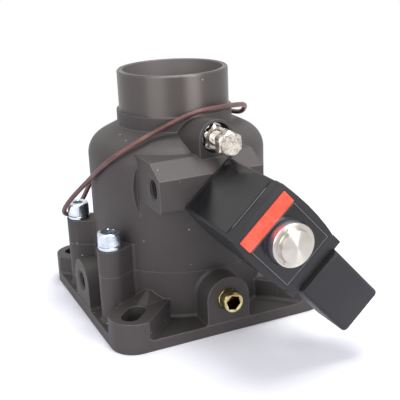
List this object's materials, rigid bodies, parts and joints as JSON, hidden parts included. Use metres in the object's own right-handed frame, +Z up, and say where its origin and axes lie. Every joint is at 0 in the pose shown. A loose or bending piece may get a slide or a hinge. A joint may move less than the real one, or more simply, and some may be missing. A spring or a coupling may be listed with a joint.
{
  "type": "compressor intake valve",
  "caption": "Intake valve with a square slotted flange, round two-part casing, inlet neck, side solenoid with a turned coil and cable connector, and a bypass adjusting screw.",
  "frame": {"origin": "middle of the mounting face, on the axis of the neck", "axes": "+Z up along the inlet neck, -Y towards the solenoid and the adjusting screw, -X towards the open ports"},
  "size_m": [0.132, 0.1982, 0.142],
  "materials": {
    "black_plastic": "moulded, fine texture",
    "brass": "yellow passivated",
    "bright_metal": "polished plate",
    "cast_casing": "sand-cast grey aluminium, machined on its faces",
    "printed_sheet": "printed film with an orange stripe",
    "rubber": "moulded rubber",
    "satin_nickel": "satin nickel",
    "steel": "machined steel",
    "zinc_steel": "bright zinc plate",
    "brown_rubber": "brown moulded rubber, slight sheen"
  },
  "bodies": {
    "casing": {"lower_casing": "cast_casing", "upper_casing": "cast_casing", "casing_seal": "rubber", "casing_screws": "zinc_steel", "spring_washers": "zinc_steel", "port_plug": "brass", "cylinder_cover": "steel", "guide_bush": "brass", "circlip": "steel", "return_spring": "steel", "armature_tube": "steel", "core_stop": "steel", "plunger_spring": "steel", "spacer_ring": "bright_metal", "retaining_cap": "satin_nickel", "lock_washer": "zinc_steel", "lock_nut": "zinc_steel", "loose_seal_ring": "brown_rubber"},
    "valve": {"intake_plate": "steel", "plate_seal": "rubber", "stem_washer": "zinc_steel", "stem_nuts": "zinc_steel", "valve_stem": "steel", "piston": "steel", "piston_seal": "rubber"},
    "armature": {"plunger": "steel", "plunger_seal": "rubber"},
    "coil": {"coil_housing": "black_plastic", "coil_label": "printed_sheet", "coil_side_label": "printed_sheet", "coil_terminals": "zinc_steel", "connector_gasket": "rubber"},
    "connector": {"connector_plug": "black_plastic", "connector_screw": "zinc_steel", "cable_gland": "black_plastic", "gland_seal": "rubber"},
    "needle": {"bypass_needle": "steel"},
    "adjuster": {"adjusting_screw": "zinc_steel"}
  },
  "joints": [
    {"name": "valve_lift", "type": "slide", "parent": "casing", "child": "valve", "axis": [0, 0, -1], "range_m": [0, 0.012], "stiffness_N_per_m": 500, "springref_m": -0.014, "deforming": ["return_spring"]},
    {"name": "armature_lift", "type": "slide", "parent": "casing", "child": "armature", "axis": [0, -1, 0], "range_m": [0, 0.0017], "stiffness_N_per_m": 300, "springref_m": -0.003, "deforming": ["plunger_spring"]},
    {"name": "coil_swivel", "type": "hinge", "parent": "casing", "child": "coil", "pos_m": [0.0043, -0.09, 0.07375], "axis": [0, 1, 0], "range_deg": [-40, 10]},
    {"name": "connector_pull", "type": "slide", "parent": "coil", "child": "connector", "axis": [0.673, 0, -0.7396], "range_m": [0, 0.014]},
    {"name": "needle_travel", "type": "slide", "parent": "casing", "child": "needle", "axis": [0, -1, 0], "range_m": [-0.002, 0.003]},
    {"name": "adjuster_turn", "type": "hinge", "parent": "needle", "child": "adjuster", "pos_m": [0, -0.06, 0.1115], "axis": [0, -1, 0], "range_deg": [-576, 864]}
  ],
  "couplings": [
    {"joint": "adjuster_turn", "follows": "needle_travel", "rad_per_m": 5026.5}
  ]
}
